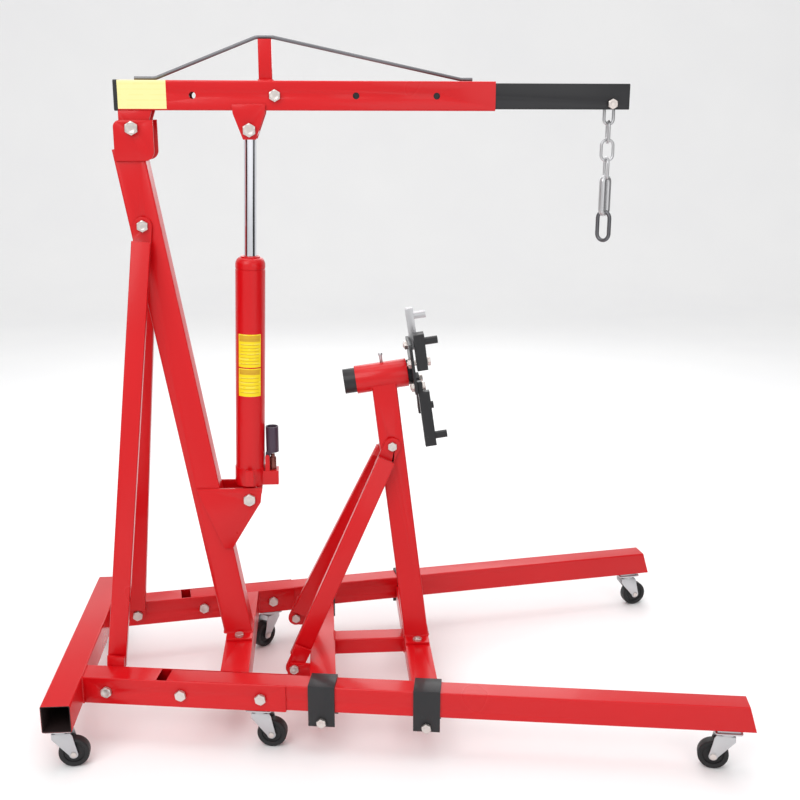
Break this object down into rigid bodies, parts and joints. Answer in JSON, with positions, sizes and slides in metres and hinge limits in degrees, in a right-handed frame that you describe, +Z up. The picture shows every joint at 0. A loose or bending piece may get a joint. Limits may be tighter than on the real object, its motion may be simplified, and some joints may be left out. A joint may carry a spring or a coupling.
{
  "type": "folding engine hoist with stand",
  "caption": "Folding shop crane on casters with a hydraulic ram, telescoping boom, lifting chain and a bolted-on engine stand with a rotating head.",
  "frame": {"origin": "on the floor, under the middle of the base's bounding box", "axes": "+X forward along the boom and legs, +Y to the far side, +Z up"},
  "size_m": [1.5602, 0.8998, 1.5661],
  "materials": {
    "red_paint": "gloss",
    "black_paint": "satin",
    "zinc": "satin",
    "chrome": "polished",
    "bolts": "satin",
    "wheel": "satin"
  },
  "bodies": {
    "base": {"rear_cross_tube": "red_paint", "side_rail_near": "red_paint", "side_rail_far": "red_paint", "mid_cross_beam": "red_paint", "leg_near": "red_paint", "leg_far": "red_paint", "mast": "red_paint", "mast_plates": "red_paint", "mast_brace_near": "red_paint", "mast_brace_far": "red_paint", "frame_bolts": "bolts", "boom_pivot_bolt": "bolts", "caster_plates": "zinc", "stand_front_beam": "red_paint", "stand_rear_beam": "red_paint", "stand_centre_beam": "red_paint", "stand_upright": "red_paint", "stand_head_tube": "red_paint", "stand_brace_near": "red_paint", "stand_brace_far": "red_paint", "stand_saddles": "black_paint", "stand_bolts": "bolts"},
    "boom": {"boom_tube": "red_paint", "boom_lugs": "red_paint", "ram_top_bolt": "bolts", "truss_post": "red_paint", "truss_rod": "zinc", "reach_lock_bolt": "bolts"},
    "extension": {"boom_extension": "black_paint", "hook_bolt": "bolts"},
    "lifting_chain": {"chain_links": "zinc"},
    "ring": {"load_ring": "black_paint"},
    "ram_piston": {"ram_rod": "chrome"},
    "ram_body": {"ram_cylinder": "red_paint", "ram_base": "red_paint"},
    "plunger": {"pump_plunger": "chrome"},
    "handle_socket": {"pump_handle_socket": "black_paint"},
    "valve": {"release_valve": "red_paint"},
    "rotating_head": {"head_spindle": "black_paint", "face_plate": "black_paint", "arm_bolts": "bolts"},
    "pin": {"index_pin": "zinc"},
    "engine_upper_far": {"arm_upper_far": "zinc"},
    "engine_upper_near": {"arm_upper_near": "black_paint"},
    "engine_lower_near": {"arm_lower_near": "black_paint"},
    "engine_lower_far": {"arm_lower_far": "black_paint"},
    "caster_rear_near": {"caster_fork_rear_near": "zinc"},
    "roller_rear_near": {"wheel_rear_near": "wheel"},
    "caster_rear_far": {"caster_fork_rear_far": "zinc"},
    "roller_rear_far": {"wheel_rear_far": "wheel"},
    "caster_mid_near": {"caster_fork_mid_near": "zinc"},
    "roller_mid_near": {"wheel_mid_near": "wheel"},
    "caster_mid_far": {"caster_fork_mid_far": "zinc"},
    "roller_mid_far": {"wheel_mid_far": "wheel"},
    "caster_front_near": {"caster_fork_front_near": "zinc"},
    "roller_front_near": {"wheel_front_near": "wheel"},
    "caster_front_far": {"caster_fork_front_far": "zinc"},
    "roller_front_far": {"wheel_front_far": "wheel"}
  },
  "joints": [
    {"name": "boom_lift", "type": "hinge", "parent": "base", "child": "boom", "pos_m": [-0.55985, 0, 1.372], "axis": [0, -1, 0], "range_deg": [0, 50]},
    {"name": "boom_reach", "type": "slide", "parent": "boom", "child": "extension", "axis": [1, 0, 0], "range_m": [-0.176, 0.352]},
    {"name": "chain_swing", "type": "hinge", "parent": "extension", "child": "lifting_chain", "pos_m": [0.49165, 0, 1.425], "axis": [0, 1, 0], "range_deg": [-30, 30]},
    {"name": "ring_swing", "type": "hinge", "parent": "lifting_chain", "child": "ring", "pos_m": [0.49165, 0, 1.17895], "axis": [-0.7193, -0.6947, 0], "range_deg": [-35, 35]},
    {"name": "ram_swing", "type": "hinge", "parent": "boom", "child": "ram_piston", "pos_m": [-0.30835, 0, 1.368], "axis": [0, -1, 0], "range_deg": [-45, 0]},
    {"name": "ram_extend", "type": "slide", "parent": "ram_piston", "child": "ram_body", "axis": [-0.0317, 0, -0.9995], "range_m": [0, 0.196]},
    {"name": "pump_handle", "type": "hinge", "parent": "ram_body", "child": "handle_socket", "pos_m": [-0.29185, 0, 0.616], "axis": [0, 1, 0], "range_deg": [0, 45]},
    {"name": "pump_stroke", "type": "slide", "parent": "ram_body", "child": "plunger", "axis": [0, 0, -1], "range_m": [0, 0.01]},
    {"name": "valve_turn", "type": "hinge", "parent": "ram_body", "child": "valve", "pos_m": [-0.33285, -0.0359, 0.575], "axis": [0, -1, 0], "range_deg": [0, 360]},
    {"name": "head_turn", "type": "hinge", "parent": "base", "child": "rotating_head", "pos_m": [-0.02035, 0, 0.806], "axis": [0.9903, 0, 0.1392], "continuous": true},
    {"name": "index_pin_slide", "type": "slide", "parent": "base", "child": "pin", "axis": [-0.1392, 0, 0.9903], "range_m": [-0.006, 0.012]},
    {"name": "upper_far_swing", "type": "hinge", "parent": "rotating_head", "child": "engine_upper_far", "pos_m": [0.04896, 0.036, 0.8733], "axis": [0.9903, 0, 0.1392], "range_deg": [-20, 20]},
    {"name": "upper_near_swing", "type": "hinge", "parent": "rotating_head", "child": "engine_upper_near", "pos_m": [0.05313, -0.034, 0.84359], "axis": [0.9903, 0, 0.1392], "range_deg": [-20, 20]},
    {"name": "lower_near_swing", "type": "hinge", "parent": "rotating_head", "child": "engine_lower_near", "pos_m": [0.06107, -0.034, 0.78715], "axis": [0.9903, 0, 0.1392], "range_deg": [-20, 20]},
    {"name": "lower_far_swing", "type": "hinge", "parent": "rotating_head", "child": "engine_lower_far", "pos_m": [0.06107, 0.036, 0.78715], "axis": [0.9903, 0, 0.1392], "range_deg": [-20, 20]},
    {"name": "swivel_rear_near", "type": "hinge", "parent": "base", "child": "caster_rear_near", "pos_m": [-0.74785, -0.305, 0.1], "axis": [0, 0, 1], "continuous": true},
    {"name": "roll_rear_near", "type": "hinge", "parent": "caster_rear_near", "child": "roller_rear_near", "pos_m": [-0.72191, -0.30319, 0.034], "axis": [-0.0698, 0.9976, 0], "continuous": true},
    {"name": "swivel_rear_far", "type": "hinge", "parent": "base", "child": "caster_rear_far", "pos_m": [-0.74785, 0.305, 0.1], "axis": [0, 0, 1], "continuous": true},
    {"name": "roll_rear_far", "type": "hinge", "parent": "caster_rear_far", "child": "roller_rear_far", "pos_m": [-0.73485, 0.28248, 0.034], "axis": [0.866, 0.5, 0], "continuous": true},
    {"name": "swivel_mid_near", "type": "hinge", "parent": "base", "child": "caster_mid_near", "pos_m": [-0.3115, -0.25019, 0.1], "axis": [0, 0, 1], "continuous": true},
    {"name": "roll_mid_near", "type": "hinge", "parent": "caster_mid_near", "child": "roller_mid_near", "pos_m": [-0.28575, -0.25381, 0.034], "axis": [0.1392, 0.9903, 0], "continuous": true},
    {"name": "swivel_mid_far", "type": "hinge", "parent": "base", "child": "caster_mid_far", "pos_m": [-0.3115, 0.25019, 0.1], "axis": [0, 0, 1], "continuous": true},
    {"name": "roll_mid_far", "type": "hinge", "parent": "caster_mid_far", "child": "roller_mid_far", "pos_m": [-0.32889, 0.23086, 0.034], "axis": [0.7431, -0.6691, 0], "continuous": true},
    {"name": "swivel_front_near", "type": "hinge", "parent": "base", "child": "caster_front_near", "pos_m": [0.71837, -0.41515, 0.1], "axis": [0, 0, 1], "continuous": true},
    {"name": "roll_front_near", "type": "hinge", "parent": "caster_front_near", "child": "roller_front_near", "pos_m": [0.69338, -0.40798, 0.034], "axis": [-0.2756, -0.9613, 0], "continuous": true},
    {"name": "swivel_front_far", "type": "hinge", "parent": "base", "child": "caster_front_far", "pos_m": [0.71837, 0.41515, 0.1], "axis": [0, 0, 1], "continuous": true},
    {"name": "roll_front_far", "type": "hinge", "parent": "caster_front_far", "child": "roller_front_far", "pos_m": [0.74381, 0.42055, 0.034], "axis": [-0.2079, 0.9781, 0], "continuous": true}
  ],
  "couplings": [
    {"joint": "ram_swing", "follows": "boom_lift", "ratio": -0.89808},
    {"joint": "ram_extend", "follows": "boom_lift", "m_per_rad": 0.22388},
    {"joint": "pump_stroke", "follows": "pump_handle", "m_per_rad": 0.0125}
  ]
}
